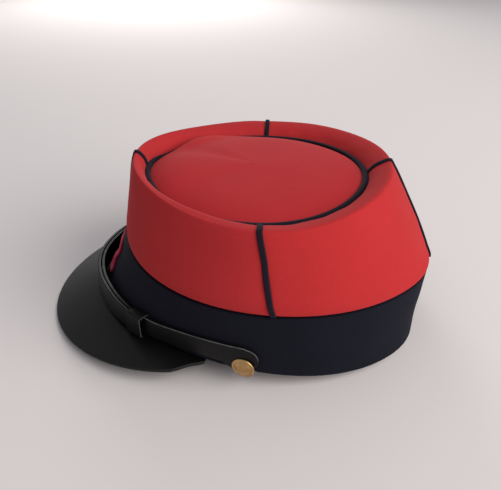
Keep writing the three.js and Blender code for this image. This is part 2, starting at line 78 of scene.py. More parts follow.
# The crown's section from its hem, tucked inside the band, up over the rolled rim to the ring:
# climb is 0 at the band's seam, 1 at the rim and 2 at the ring; out and up move off that line.
CROWN_SECTION = np.array([
    # climb, out, up
    (0.00, -4.0, -7.0),  # hem
    (0.00, -3.2, -0.1),  # tuck
    (0.00, -2.0, 0.9),  # crease
    (0.00, 0.0, 1.9),  # lip
    (0.12, 1.5, 0.0),  # belly
    (0.35, 2.0, 0.0),  # lower wall
    (0.65, 1.8, 0.0),  # upper wall
    (0.88, 1.5, 0.0),  # shoulder
    (0.97, 0.9, 0.2),  # outer roll
    (1.05, 0.0, 0.9),  # crest
    (1.35, 0.0, 2.0),  # inner roll
    (1.60, 0.0, 2.0),  # fall
    (1.77, 0.3, 1.4),  # inner fall
    (1.90, 0.6, 0.4),  # groove
    (2.00, 0.8, -3.0),  # tail
])
LIP_ROW, TOP_ROW = 3, 13  # the section rows where a seam braid starts and ends

# The cloth between its seams: how deep and wide it sinks to a seam, the ripples along it (size and
# length), its unevenness, and the gathers along the groove. It is free between two climbs.
CLOTH = dict(mm_per_degree=1.4, free_from=(0.02, 0.12), free_to=(1.75, 1.95), sink=0.3, sink_width=1.6,
             ripples=((1, 2.9), (0.6, 1.7)), ripple=0.09, ripple_width=4, uneven=0.42, even_width=16,
             gathers=23, gather=0.16, gathered_at=(1.7, 0.22))
ROLL = dict(angle=60, spread=26, climb=1.4, width=0.3, rise=2.1)  # the rolled rim bulges over the ring
DISK = dict(wall=1.8, edge_inset=1.1, skirt=3, dome_rise=6, dome_power=6, puff=0.3, puff_angle=-50,
            slack=0.30)
# A soft fold of the top, near its edge.
FOLD = dict(angle=-47, spread=26, share=0.95, width=0.12, rise=4.8, edge_power=40)
PLAIT_PITCH = 1.05
RING_BRAID = dict(half_width=1.6, half_height=1.15, up=1.1, bow=0.96, relief=0.35, waves=5, wave=0.12)
SEAM_BRAID = dict(half_width=1.5, thickness=1.1, sunk=0.5, selvedge=0.25)

# Past the first of slim_angles the horns slim down by the share slim, which is full at the second.
PEAK = dict(half_angle=74, reach=38.6, crescent=0.54, slim=0.4, slim_angles=(67, 72.5), droop=28.6,
            horn_droop=1, curl=8, squareness=0.12, wall=2.4, root=3, drop=0.4, horn=0.995)
PEAK_ARC_STEPS = 8

# The chin strap's course from the right button round the front to the left one: its lower and
# upper edges above the band's foot, and how far each edge stands off the band.
STRAP_COURSE = np.array([
    # at, low, high, stand_low, stand_high
    (-86, 5.8, 19.0, 0.0, 0.0),
    (-72, 5.4, 18.6, 0.0, 0.0),
    (-62, 4.0, 17.4, 0.4, 0.6),
    (-52, 2.6, 16.0, 1.6, 1.9),
    (-41, 0.6, 14.4, 1.8, 3.2),
    (-26, -1.1, 13.2, 2.2, 6.0),
    (-12, -1.5, 12.2, 2.3, 7.0),
    (0, -1.5, 11.6, 2.1, 6.8),
    (12, -1.2, 11.6, 1.6, 5.0),
    (26, -0.5, 12.2, 1.5, 2.8),
    (41, 0.8, 13.2, 1.6, 1.8),
    (52, 2.6, 15.2, 1.6, 1.6),
    (62, 4.2, 17.2, 0.4, 0.4),
    (72, 5.4, 18.5, 0.0, 0.0),
    (86, 5.8, 19.0, 0.0, 0.0),
])
STRAP = dict(thickness=2, end_angle=84.1, end_height=8.5, end_radius=9.9, end_drop=6.4, past_loop=2,
             loop_angle=47, crossing=(52, 66), crown=0.16, bared=0.2, bared_from=(40, 48))
CUT_FROM = 0.45  # the share of a strip's thickness, from its inner face, where the cut edge starts
PADDED_FROM = 0.6  # and the one over which its face is crowned
LOOP = dict(half_degrees=3.4, skew=3, wall=1.1, clearance=0.35)
BUTTON = dict(angle=86, height=5.6, radius=6.5, rim=1.2, dome=1.8, dome_power=0.9, dome_radius=5.24,
              dish=0.35, shank_radius=1.5, lean=10)
BADGE = dict(height=19, radius=12.8, lobe=0.26, wide=1.25, tall=0.85, stroke=4.2, thickness=1,
             nose=0.35, pad=0.35)


# ---- From the cap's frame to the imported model's ----

def cap_frame():
    """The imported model's place of the cap: its axes as rows, and its origin in metres.

    The mount named head_opening lies at the cap's origin, and its axis points straight down.
    """
    mount = next(m for m in frame["record"]["mounts"] if m["name"] == "head_opening")
    up = -np.array(mount["axis"], float)
    up /= np.linalg.norm(up)
    across = np.array([1.0, 0.0, 0.0])
    return np.stack([across, np.cross(up, across), up]), np.array(mount["pos_m"], float)


CAP_AXES, CAP_ORIGIN = cap_frame()


def to_row(points):
    """Millimetres in the cap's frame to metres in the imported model's."""
    return np.asarray(points, float) @ CAP_AXES * MM + CAP_ORIGIN


# ---- Curves round the head ----

def bell(values, middle, spread):
    """A bell curve: 1 at its middle, e to the minus the square of the distance in spreads."""
    return np.exp(-((values - middle) / spread) ** 2)


def signed(angle):
    """The same angle, from -180 to 180 degrees."""
    return angle - 360 * np.round(angle / 360)


def level_point(level, angle):
    """A point of a level curve: half_width times sine and half_length times cosine of the angle,
    narrowed by egg at the front and by point at both ends, and swollen by a bell curve at the
    corners, at a height that swings with the cosine of once and twice the angle, less a bell
    curve where it sags."""
    a = np.radians(angle)
    from_front = np.degrees(np.arccos(np.cos(a)))
    swell = 1 + level["corner"] * bell(from_front, CORNER["angle"], CORNER["spread"])
    narrowing = 1 - level["egg"] * np.cos(a) - level["point"] * np.cos(2 * a)
    sunk = level["sag"] * sum(sag["depth"] * bell(signed(angle), sag["angle"], sag["spread"]) for sag in SAGS)
    return np.stack([
        swell * narrowing * level["half_width"] * np.sin(a),
        level["shift"] - swell * level["half_length"] * np.cos(a),
        level["height"] - level["tilt"] * np.cos(a) + level["saddle"] * np.cos(2 * a) - sunk,
    ], axis=-1)


def unit(vectors):
    return vectors / np.maximum(np.linalg.norm(vectors, axis=-1, keepdims=True), 1e-12)


def outward(level, angle):
    """The level direction straight out of the head: the curve's tangent turned a quarter turn."""
    along = level_point(level, angle + 0.1) - level_point(level, angle - 0.1)
    return unit(np.stack([along[..., 1], -along[..., 0], 0 * along[..., 0]], axis=-1))


def between(lower, upper, share, angle, out, up):
    """A point a share of the way from one level curve to the next, moved straight out and up."""
    share = np.asarray(share, float)[..., None]
    direction = unit((1 - share) * outward(lower, angle) + share * outward(upper, angle))
    point = (1 - share) * level_point(lower, angle) + share * level_point(upper, angle)
    point = point + direction * np.asarray(out, float)[..., None]
    point[..., 2] += up
    return point


def band_point(angle, height, out):
    """The band's outer face: height above its foot along its slope, out off the face."""
    foot = level_point(FOOT, angle)
    climb = level_point(SEAM, angle) - foot
    rise = np.asarray(height, float)[..., None] / climb[..., 2:]
    return foot + climb * rise + outward(FOOT, angle) * np.asarray(out, float)[..., None]


def crown_point(climb, out, up, angle):
    """The crown's outer face: from the seam to the rim while climb is up to 1, then to the ring."""
    lower = between(SEAM, RIM, np.minimum(climb, 1), angle, out, up)
    upper = between(RIM, RING, np.maximum(climb - 1, 0), angle, out, up)
    return np.where(np.asarray(climb)[..., None] <= 1, lower, upper)


def smooth_through(knots, values, at):
    """A smooth curve through values at rising knots: cubic pieces whose slope at each knot is
    the slope of the parabola through it and its two neighbours."""
    steps = np.diff(knots)[:, None]
    slopes = np.diff(values, axis=0) / steps
    inner = (slopes[:-1] * steps[1:] + slopes[1:] * steps[:-1]) / (steps[:-1] + steps[1:])
    tangents = np.concatenate([slopes[:1], inner, slopes[-1:]])
    piece = np.clip(np.searchsorted(knots, at, side="right") - 1, 0, len(steps) - 1)
    t = ((at - knots[piece]) / steps[piece, 0])[:, None]
    h = steps[piece]
    return ((1 + 2 * t) * (1 - t) ** 2 * values[piece] + t * (1 - t) ** 2 * h * tangents[piece]
            + t ** 2 * (3 - 2 * t) * values[piece + 1] - t ** 2 * (1 - t) * h * tangents[piece + 1])


def surface_normals(points):
    """Unit normals of a grid of points: its step along the rows crossed with that along columns."""
    return unit(np.cross(np.gradient(points, axis=0), np.gradient(points, axis=1)))


def smooth_step(values, start, end):
    """0 up to start and 1 past end, by three squares less two cubes of the share between."""
    t = np.clip((values - start) / (end - start), 0, 1)
    return t * t * (3 - 2 * t)


def wander(angle, height, seed, waves=6, slow=2.0, fast=7.0):
    """A gentle unevenness of handmade cloth, from -1 to 1: a few sine waves that run round the
    head and up it, each with its own number of turns, slant and phase."""
    draw = np.random.default_rng(seed)
    total = np.zeros(np.broadcast(angle, height).shape)
    for _ in range(waves):
        turns = np.round(draw.uniform(slow, fast))
        slant = draw.uniform(-0.09, 0.09)
        total += np.sin(np.radians(turns * angle) + slant * height + draw.uniform(0, 2 * np.pi))
    return total / waves ** 0.5 / 1.5


# ---- Meshes from grids ----

def quads(a, b, c, d):
    return np.stack([a, b, c, d], axis=-1).reshape(-1, 4)


def make_mesh(name, points, faces, fields):
    """A smooth-shaded object at the origin from cap-frame points. What would lie lower than the
    surface that the cap rests on is pressed flat on it. fields are numbers kept at the points."""
    points = to_row(points)
    points[:, 2] = np.maximum(points[:, 2], 0)
    mesh = bpy.data.meshes.new(name)
    mesh.from_pydata(points.tolist(), [], faces.tolist())
    for field, values in fields.items():
        kept = mesh.attributes.new(field, "FLOAT", "POINT")
        kept.data.foreach_set("value", np.ascontiguousarray(values, np.float32).ravel())
    mesh.polygons.foreach_set("use_smooth", np.ones(len(mesh.polygons), bool))
    mesh.update()
    piece = bpy.data.objects.new(name, mesh)
    bpy.context.scene.collection.objects.link(piece)
    return piece


def loft(name, sections, closed, fields=None, flip=False):
    """A closed solid from a row of closed sections, an array of (sections, points, 3). The first
    half of each section is its outer face, and the second half the inner one, on its way back.
    A closed row joins its last section to its first; an open one is capped across both ends."""
    rows, columns = sections.shape[:2]
    index = np.arange(rows * columns).reshape(rows, columns)
    across = np.roll(index, -1, axis=1)
    if closed:
        following = np.roll(index, -1, axis=0)
        faces = quads(index, following, np.roll(following, -1, axis=1), across)
    else:
        faces = quads(index[:-1], index[1:], across[1:], across[:-1])
        half = columns // 2
        near, far = np.arange(half - 1), columns - 1 - np.arange(half - 1)
        first, last = index[0], index[-1]
        faces = np.concatenate([
            faces,
            quads(first[near], first[near + 1], first[far - 1], first[far]),
            quads(last[near], last[far], last[far - 1], last[near + 1]),
        ])
    if flip:
        faces = faces[:, ::-1]
    kept = {field: np.broadcast_to(values, (rows, columns)) for field, values in (fields or {}).items()}
    return make_mesh(name, sections.reshape(-1, 3), faces, kept)


def wrap(outer, inner):
    """Sections for loft from matching grids of an outer and an inner face."""
    return np.concatenate([outer, inner[:, ::-1]], axis=1)


def strip(face_steps, nose_steps, squareness=0.5):
    """The section of a flat strip with rounded edges, as three arrays for one turn round it.

    share runs 0 to 1 across the face, nose is how far a point stands out past its edge, in nose
    widths, below 0 on the low edge, and depth is 0 on the inner face and 1 on the outer one. Each
    edge is half a superellipse: a power of the cosine across and of the sine in depth.
    """
    turn = (np.arange(nose_steps) + 0.5) / nose_steps * np.pi / 2
    reach, rise = np.cos(turn) ** squareness, np.sin(turn) ** squareness
    inside = np.arange(1, face_steps) / face_steps
    share = np.concatenate([0 * turn, inside, 0 * turn + 1])
    nose = np.concatenate([-reach, 0 * inside, reach[::-1]])
    depth = np.concatenate([rise, 0 * inside + 1, rise[::-1]]) / 2 + 0.5
    depth = np.minimum(depth, 1)
    return (np.concatenate([share, share[::-1]]), np.concatenate([nose, nose[::-1]]),
            np.concatenate([depth, 1 - depth[::-1]]))


# ---- Crown ----

def section_curve(count, first=0, last=len(CROWN_SECTION) - 1, side_angle=90):
    """Evenly spaced (climb, out, up) along the smooth section, between two of its rows."""
    climb, out, up = CROWN_SECTION.T
    corners = crown_point(climb, out, up, np.full(len(climb), float(side_angle)))
    lengths = np.concatenate([[0], np.cumsum(np.linalg.norm(np.diff(corners, axis=0), axis=1))])
    return smooth_through(lengths, CROWN_SECTION, np.linspace(lengths[first], lengths[last], count))


def side_seam(climb):
    """The left seam's angle, which turns evenly from the band to the ring."""
    return SIDE_SEAM["at_band"] + (SIDE_SEAM["at_ring"] - SIDE_SEAM["at_band"]) * climb / 2


def rear_seam(climb):
    """The rear seam's angle: straight over the rim, wandering by a power of the way below it."""
    return REAR_SEAM["at_rim"] - REAR_SEAM["wander"] * np.maximum(1 - climb, 0) ** REAR_SEAM["power"]


SEAM_ANGLES = {
    "front": lambda climb: 0 * climb,
    "left": side_seam,
    "rear": rear_seam,
    "right": lambda climb: 360 - side_seam(climb),
    "whole": lambda climb: 0 * climb + 360,
}


def panel_points(start, end, seed, columns=72, rows=110):
    """A crown panel's outer face: rows from one seam to the next, columns up the section. The
    cloth sinks towards both seams, ripples a little along them, and is gently uneven."""
    climb, out, up = section_curve(rows).T
    share = np.linspace(0, 1, columns)[:, None]
    first = SEAM_ANGLES[start](climb) + CROWN["half_joint"]
    last = SEAM_ANGLES[end](climb) - CROWN["half_joint"]
    angle = first + (last - first) * share
    points = crown_point(climb + 0 * share, out + 0 * share, up + 0 * share, angle)
    normals = surface_normals(points)
    height = np.cumsum(np.linalg.norm(np.gradient(points, axis=1), axis=2), axis=1)
    from_seam = np.minimum(share, 1 - share) * (last - first) * CLOTH["mm_per_degree"]
    sewn = smooth_step(climb, *CLOTH["free_from"]) * (1 - smooth_step(climb, *CLOTH["free_to"]))
    draw = np.random.default_rng(seed)
    ripple = sum(
        size * np.sin(height / length + draw.uniform(0, 6)) for size, length in CLOTH["ripples"])
    sink = -CLOTH["sink"] * np.exp(-from_seam / CLOTH["sink_width"])
    sink = sink + CLOTH["ripple"] * ripple * np.exp(-from_seam / CLOTH["ripple_width"])
    uneven = CLOTH["uneven"] * wander(angle, height, seed)
    uneven = uneven * smooth_step(from_seam, 0, CLOTH["even_width"])
    gathers = CLOTH["gather"] * np.sin(np.radians(angle * CLOTH["gathers"]))
    gathers = gathers * bell(climb, *CLOTH["gathered_at"])
    points = points + normals * (sewn * (sink + uneven + gathers))[..., None]
    bulge = bell(signed(angle), ROLL["angle"], ROLL["spread"])
    points[..., 2] += ROLL["rise"] * bulge * bell(climb, ROLL["climb"], ROLL["width"])
    return points


def crown_panel(name, start, end, seed):
    """A panel of even thickness, laid off inwards from its outer face."""
    outer = panel_points(start, end, seed)
    inner = outer - surface_normals(outer) * CROWN["wall"]
    return loft(name, wrap(outer, inner), closed=False, flip=True)


def disk_points(angle, share):
    """The sunken top: from its middle to its edge, raised by one minus a power of the share, a
    little more on one side, and by a bell curve both round and across where the cloth folds."""
    middle = np.array([0, RING["shift"], RING["height"] + RING["saddle"] / 2])
    edge = between(RING, RING, 0 * angle, angle, 0 * angle - DISK["edge_inset"], 0)
    swell = 1 + DISK["puff"] * share * np.cos(np.radians(angle - DISK["puff_angle"]))
    point = middle + (edge - middle) * share[..., None]
    fold = bell(signed(angle), FOLD["angle"], FOLD["spread"]) * bell(share, FOLD["share"], FOLD["width"])
    point[..., 2] += DISK["dome_rise"] * (1 - share ** DISK["dome_power"]) * swell
    point[..., 2] += FOLD["rise"] * fold * (1 - share ** FOLD["edge_power"])
    return point


def crown_disk(name, columns=180, rows=60):
    """The sunken top with a little slack in its cloth, its edge turned down in a skirt."""
    angle = np.arange(columns)[:, None] * 360 / columns
    share = 1 - (1 - np.linspace(0, 1, rows)) ** 1.7  # closer together towards the edge
    angle, share = np.broadcast_arrays(angle, share)
    top = disk_points(angle, share)
    slack = wander(angle, share * 40, 21, slow=1, fast=4) * share * (1 - share ** 4)
    top[..., 2] += DISK["slack"] * slack
    under = disk_points(angle, share * (1 - DISK["wall"] / RING["half_width"]))
    under[..., 2] -= DISK["wall"]
    down = np.linspace(0.25, 1, 4)
    shape = (columns, len(down))

    def skirt(out):
        ring = between(
            RING, RING, np.zeros(shape), np.broadcast_to(angle[:, :1], shape), np.full(shape, out), 0)
        ring[..., 2] -= down * DISK["skirt"]
        return ring

    outer = np.concatenate([top, skirt(GAP - DISK["edge_inset"])], axis=1)
    inner = np.concatenate([under, skirt(-DISK["edge_inset"] - DISK["wall"])], axis=1)
    return loft(name, wrap(outer, inner), closed=True, flip=True)


# ---- Braid ----

def plait(length, across, pitch=PLAIT_PITCH):
    """Relief of a flat plaited braid, 0 to 1: a low arch with a faint middle groove, crossed by
    slanting strands that meet in the groove like the bars of an arrow."""
    arch = np.sqrt(np.clip(1 - across ** 4, 0, 1))
    groove = 1 - 0.16 * bell(across, 0, 0.16)
    strand = np.abs(np.sin(np.pi * (length / pitch + 0.9 * np.abs(across))))
    return arch * groove * (0.86 + 0.14 * strand)


def seam_braid(name, seam, columns=13, rows=750):
    """A flat braid over a seam of the crown, which drifts a little to each side of it. Its face is
    raised by the plait, its back is flat."""
    climb, out, up = section_curve(rows, LIP_ROW, TOP_ROW).T
    angle = SEAM_ANGLES[seam](climb)
    middle = crown_point(climb, out, up, angle)
    across_way = unit(
        crown_point(climb, out, up, angle + 0.5) - crown_point(climb, out, up, angle - 0.5))
    away = unit(np.cross(across_way, np.gradient(middle, axis=0)))
    length = np.cumsum(np.linalg.norm(np.gradient(middle, axis=0), axis=1))
    across = np.linspace(-1, 1, columns)
    place = across[:, None] * SEAM_BRAID["half_width"]
    drift = 0.32 * np.sin(length / 9 + len(name)) + 0.14 * np.sin(length / 3.7)
    spine = middle + across_way * drift[:, None]
    row = spine[:, None] + across_way[:, None] * place
    relief = (SEAM_BRAID["thickness"] - SEAM_BRAID["selvedge"]) * plait(length[:, None], across[None])
    face = row + away[:, None] * (SEAM_BRAID["selvedge"] + relief)[..., None]
    back = row - away[:, None] * SEAM_BRAID["sunk"]
    return loft(name, wrap(face, back), closed=False, flip=True)


def ring_braid(name, columns=11, step=0.17):
    """The same braid laid round the edge of the top, rounded over its width. It rises and falls
    a little on its way, and its plait is fitted to whole strands."""
    circumference = np.pi * (RING["half_length"] + RING["half_width"])
    count = int(circumference / step)
    angle = np.arange(count)[:, None] * 360 / count
    pitch = circumference / round(circumference / PLAIT_PITCH)
    across = np.linspace(-1, 1, columns)[None]
    length = angle / 360 * circumference
    bow = np.sqrt(1 - (across * RING_BRAID["bow"]) ** 2)
    lift = RING_BRAID["wave"] * np.sin(np.radians(angle * RING_BRAID["waves"]))
    shape = (count, columns)

    def face(side, relief):
        out = np.broadcast_to(across * RING_BRAID["half_width"], shape)
        up = RING_BRAID["up"] + lift + side * RING_BRAID["half_height"] * bow * relief
        return between(RING, RING, np.zeros(shape), np.broadcast_to(angle, shape), out, up)

    outer = face(1, 1 - RING_BRAID["relief"] + RING_BRAID["relief"] * plait(length, across, pitch))
    inner = face(-1, 1)
    return loft(name, wrap(outer, inner), closed=True)


# ---- Band ----

def band(name, columns=360, rows=34, fold_steps=8):
    """A tall closed wall: its cloth is folded round at the foot and turned in along the top, each
    fold a quarter ellipse, and the ends of the cloth meet in a shallow groove at the back."""
    angle = np.arange(columns)[:, None] * 360 / columns
    top = level_point(SEAM, angle)[..., 2] - level_point(FOOT, angle)[..., 2]
    half = BAND["wall"] / 2
    turn = (np.arange(fold_steps) + 0.5) / fold_steps * np.pi / 2
    flat = top - BAND["hem"] - BAND["top_fold"]
    height = np.concatenate([
        0 * angle + BAND["hem"] * (1 - np.cos(turn)),
        BAND["hem"] + flat * np.linspace(0, 1, rows),
        top - BAND["top_fold"] * (1 - np.cos(turn[::-1])),
    ], axis=1)
    inset = half * np.concatenate([1 - np.sin(turn), np.zeros(rows), 1 - np.sin(turn[::-1])])
    angle, inset = np.broadcast_arrays(angle, inset[None])
    free = smooth_step(height, *BAND["free_from"]) * (1 - smooth_step(height, *BAND["free_to"]))
    uneven = BAND["uneven"] * wander(angle, height, 5) * free
    hollow = bell(signed(angle), HOLLOW["angle"], HOLLOW["spread"])
    hollow = HOLLOW["depth"] * hollow * bell(height, HOLLOW["height"], HOLLOW["tall"])
    join = BAND["join_depth"] * bell(angle, 180, BAND["join_spread"])
    outer = band_point(angle, height, uneven - join - hollow - inset)
    inner = band_point(angle, height, inset - hollow - BAND["wall"])
    return loft(name, wrap(outer, inner), closed=True, flip=True)


# ---- Peak ----

def peak_points(angle, share):
    """The peak's upper face: straight out and a little forward from the band's foot, falling
    along an arc that steepens from root to edge. The reach shrinks towards the horns."""
    turn = angle / PEAK["half_angle"]
    reach = PEAK["reach"] * np.maximum(1 - turn ** 2, 0) ** PEAK["crescent"]
    reach = reach * (1 - PEAK["slim"] * smooth_step(np.abs(angle), *PEAK["slim_angles"]))
    slope = PEAK["droop"] + (PEAK["horn_droop"] - PEAK["droop"]) * turn ** 2
    ahead = np.array([0, -PEAK["squareness"], 0])
    direction = unit(outward(FOOT, angle) * (1 - PEAK["squareness"]) + ahead)
    point = level_point(FOOT, angle)
    point[..., 2] -= PEAK["drop"]
    for i in range(PEAK_ARC_STEPS):
        middle = (i + 0.5) / PEAK_ARC_STEPS * share
        tilt = np.radians(slope + PEAK["curl"] * (middle - 0.5))
        step = reach * share / PEAK_ARC_STEPS
        point = point + direction * (step * np.cos(tilt))[..., None]
        point[..., 2] -= step * np.sin(tilt)
    return point


def peak(name, columns=240, rows=44, nose=0.9, nose_steps=7):
    """A crescent of leather, its root tucked under the band and its edge rounded by an ellipse as
    wide as nose, or less where the peak is short. The attribute cut marks the rounded edge."""
    swing = np.radians(np.linspace(-90, 90, columns))[:, None]
    angle = PEAK["half_angle"] * PEAK["horn"] * np.sin(swing)
    angle_face, share = np.broadcast_arrays(angle, np.linspace(0, 1, rows))
    whole = peak_points(angle_face, share)
    away = unit(peak_points(angle_face, share + 0.01) - peak_points(angle_face, share - 0.01))
    down = unit(np.cross(unit(np.gradient(whole, axis=0)), away))
    down = np.where(down[..., 2:] > 0, -down, down)
    reach = np.linalg.norm(whole[:, -1] - whole[:, 0], axis=1)[:, None, None]
    room = np.minimum(nose, reach * 0.4)
    pulled = whole - away * room * share[..., None]
    half = PEAK["wall"] / 2
    turn = ((nose_steps - 0.5 - np.arange(nose_steps)) / nose_steps * np.pi / 2)[None, :, None]
    edge = pulled[:, -1:] + down[:, -1:] * half + away[:, -1:] * room * np.cos(turn)
    lift = down[:, -1:] * half * np.sin(turn)
    root = level_point(FOOT, angle) - outward(FOOT, angle) * PEAK["root"]
    root[..., 2] -= PEAK["drop"]
    inner_root = root - [0, 0, PEAK["wall"]]
    outer = np.concatenate([root, pulled, edge - lift], axis=1)
    inner = np.concatenate([inner_root, pulled + down * PEAK["wall"], edge + lift], axis=1)
    mark = np.repeat([0, 1], [1 + rows, nose_steps])
    cut = np.concatenate([mark, mark[::-1]])
    return loft(name, wrap(outer, inner), closed=False, fields={"cut": cut})


# ---- Chin strap ----

def strap_course(angle):
    """The strap's low and high edge and their stand-off at any angle, smooth between the rows."""
    knots = STRAP_COURSE[:, 0].astype(float)
    inside = np.clip(angle, knots[0], knots[-1])
    course = smooth_through(knots, STRAP_COURSE[:, 1:], inside)
    course[:, 2:] = np.maximum(course[:, 2:], 0)
    return course.T


def mm_per_degree(angle):
    return np.linalg.norm(level_point(FOOT, angle + 0.5) - level_point(FOOT, angle - 0.5))


def strap_layer(turn, side):
    """How far a strap lies off the band, besides its own stand-off: the right one (side -1) lies
    on the left one between the loops, and comes down to the band near its button."""
    if side > 0:
        return 0 * turn
    return (1 - smooth_step(turn, *STRAP["crossing"])) * (STRAP["thickness"] + GAP)


def cut_edge(nose, depth):
    """1 on the outer edges of a strip, 0 on its faces."""
    return np.abs(nose) * np.clip((depth - CUT_FROM) * 2, 0, 1)


def padding(share, depth):
    """How far the outer face of a strip is crowned, from 0 at its edges to 1 along its middle."""
    return (1 - (2 * share - 1) ** 2) * (depth > PADDED_FROM)


def strap(name, side, columns=190, end_columns=44, nose=0.55):
    """One half of the chin strap, from beyond the far loop to its round end at its own button: its
    face is crowned a little, and its edge is an ellipse round the end."""
    end_degrees = STRAP["end_radius"] / mm_per_degree(STRAP["end_angle"])
    start = -STRAP["loop_angle"] - STRAP["past_loop"]
    straight = np.linspace(start, STRAP["end_angle"] - end_degrees, columns)
    swing = np.radians(np.linspace(-84, 88, end_columns))
    turn = np.concatenate([straight, STRAP["end_angle"] + end_degrees * np.sin(swing)])
    low, high, stand_low, stand_high = strap_course(side * turn)
    reach = np.clip((turn - STRAP["end_angle"]) / end_degrees, -1, 1)
    fullness = np.sqrt(1 - reach ** 2)
    end_low = STRAP["end_height"] - STRAP["end_drop"] * fullness
    end_high = STRAP["end_height"] + STRAP["end_radius"] * fullness
    low = np.where(reach > 0, end_low, np.minimum(low, end_low))
    high = np.where(reach > 0, end_high, np.maximum(high, end_high))
    share, out, depth = strip(face_steps=16, nose_steps=5, squareness=0.6)
    room = np.minimum(nose, (high - low) * 0.45)[:, None]
    width = (high - low)[:, None] - 2 * room
    height = low[:, None] + room + width * share + room * out
    stand = stand_low[:, None] + (stand_high - stand_low)[:, None] * share
    lifted = GAP + strap_layer(turn, side)[:, None] + stand + depth * STRAP["thickness"]
    lifted = lifted + STRAP["crown"] * padding(share, depth)
    points = band_point(side * turn[:, None] + 0 * share, height, lifted)
    bared = STRAP["bared"] + (1 - STRAP["bared"]) * smooth_step(turn, *STRAP["bared_from"])
    cut = cut_edge(out, depth) * bared[:, None]
    return loft(name, points, closed=False, flip=side < 0, fields={"cut": cut})


def loop(name, side, corner=0.9, edge=0.3):
    """A leather loop round both straps, a little askew: a strip carried along a rounded rectangle,
    whose four corners are quarter circles."""
    share, nose, depth = strip(face_steps=10, nose_steps=4, squareness=0.6)
    arc = np.radians(np.linspace(0, 90, 7))
    swing = np.concatenate([arc + quarter * np.pi / 2 for quarter in range(4)])[:, None]
    is_high = np.repeat([True, True, False, False], len(arc))[:, None]
    is_outer = np.repeat([True, False, False, True], len(arc))[:, None]
    across = (LOOP["half_degrees"] - edge) * (2 * share - 1) + edge * nose
    angle = side * (STRAP["loop_angle"] + np.where(is_high, -0.5, 0.5) * LOOP["skew"]) + across
    course = [strap_course(line) for line in angle]
    low, high, stand_low, stand_high = np.stack(course, axis=1)
    inside = 2 * STRAP["thickness"] + GAP
    room = LOOP["clearance"] - corner
    height = np.where(is_high, high + room, low - room)
    out = GAP + np.where(is_high, stand_high, stand_low) + np.where(is_outer, inside + room, -room)
    grow = corner + depth * LOOP["wall"]
    points = band_point(angle, height + grow * np.sin(swing), out + grow * np.cos(swing))
    cut = cut_edge(nose, depth) * (side * nose > 0)  # only the rear edge is pale
    return loft(name, points, closed=True, flip=side < 0, fields={"cut": cut})


# ---- Buttons and badge ----

def button_seat(side):
    """Where a button's axis meets the band, and two directions across it and one along it."""
    angle = np.array([side * BUTTON["angle"]])
    height = np.array([float(BUTTON["height"])])
    none = np.zeros(1)
    point = band_point(angle, height, none)[0]
    along = unit(band_point(angle + 0.5, height, none) - band_point(angle - 0.5, height, none))[0]
    climb = band_point(angle, height + 1, none)[0] - band_point(angle, height - 1, none)[0]
    normal = unit(np.cross(along, climb))
    return point, along, np.cross(normal, along), normal


def button(name, side, columns=96):
    """A turned button: a low dome inside a rounded rim, on a shank through strap and band. The
    attribute reach runs from 0 on its axis to 1 at its rim."""
    under = STRAP["thickness"] + 2 * GAP
    top = under + BUTTON["rim"]
    radius = BUTTON["radius"]
    rim = np.radians(np.linspace(-90, 120, 14))
    bead = BUTTON["rim"] / 2
    dome = np.linspace(1, 0, 16)
    rise = (BUTTON["dome"] + BUTTON["dish"]) * (1 - dome ** 2) ** BUTTON["dome_power"]
    profile = np.concatenate([
        [(0, -BAND["wall"]), (BUTTON["shank_radius"], -BAND["wall"]), (BUTTON["shank_radius"], under)],
        np.stack([radius - bead + bead * np.cos(rim), under + bead + bead * np.sin(rim)], axis=1),
        np.stack([BUTTON["dome_radius"] * dome, top - BUTTON["dish"] + rise], axis=1),
    ])
    point, along, climb, normal = button_seat(side)
    lean = np.radians(BUTTON["lean"]) * side
    axis = normal * np.cos(lean) - along * np.sin(lean)
    across = along * np.cos(lean) + normal * np.sin(lean)
    angle = np.arange(columns)[:, None, None] * 2 * np.pi / columns
    points = (point + axis * profile[None, :, 1:]
              + profile[None, :, :1] * (across * np.cos(angle) + climb * np.sin(angle)))
    index = np.arange(columns * len(profile)).reshape(columns, -1)
    following = np.roll(index, -1, axis=0)
    faces = quads(index[:, :-1], following[:, :-1], following[:, 1:], index[:, 1:])
    reach = np.broadcast_to(profile[:, 0] / radius, (columns, len(profile)))
    piece = make_mesh(name, points.reshape(-1, 3), faces, {"reach": reach})
    return close_poles(piece)


def close_poles(piece):
    """Joins the points that meet at a pole."""
    shape = bmesh.new()
    shape.from_mesh(piece.data)
    bmesh.ops.remove_doubles(shape, verts=shape.verts, dist=1e-7)
    bmesh.ops.recalc_face_normals(shape, faces=shape.faces)
    shape.to_mesh(piece.data)
    shape.free()
    return piece


def badge(name, columns=300):
    """A four-lobed ring cut from felt: its radius swings with the cosine of four times the turn."""
    turn = np.arange(columns)[:, None] * 2 * np.pi / columns
    share, nose, depth = strip(face_steps=8, nose_steps=5)
    lobed = BADGE["radius"] * (1 - BADGE["lobe"] * np.cos(4 * turn))
    radius = lobed + (BADGE["stroke"] / 2 - BADGE["nose"]) * (2 * share - 1) + BADGE["nose"] * nose
    angle = BADGE["wide"] * radius * np.cos(turn) / mm_per_degree(0.0)
    height = BADGE["height"] + BADGE["tall"] * radius * np.sin(turn)
    out = GAP + depth * BADGE["thickness"] + BADGE["pad"] * padding(share, depth)
    points = band_point(angle, height, out)
    return loft(name, points, closed=True, flip=True)


# ---- Materials ----

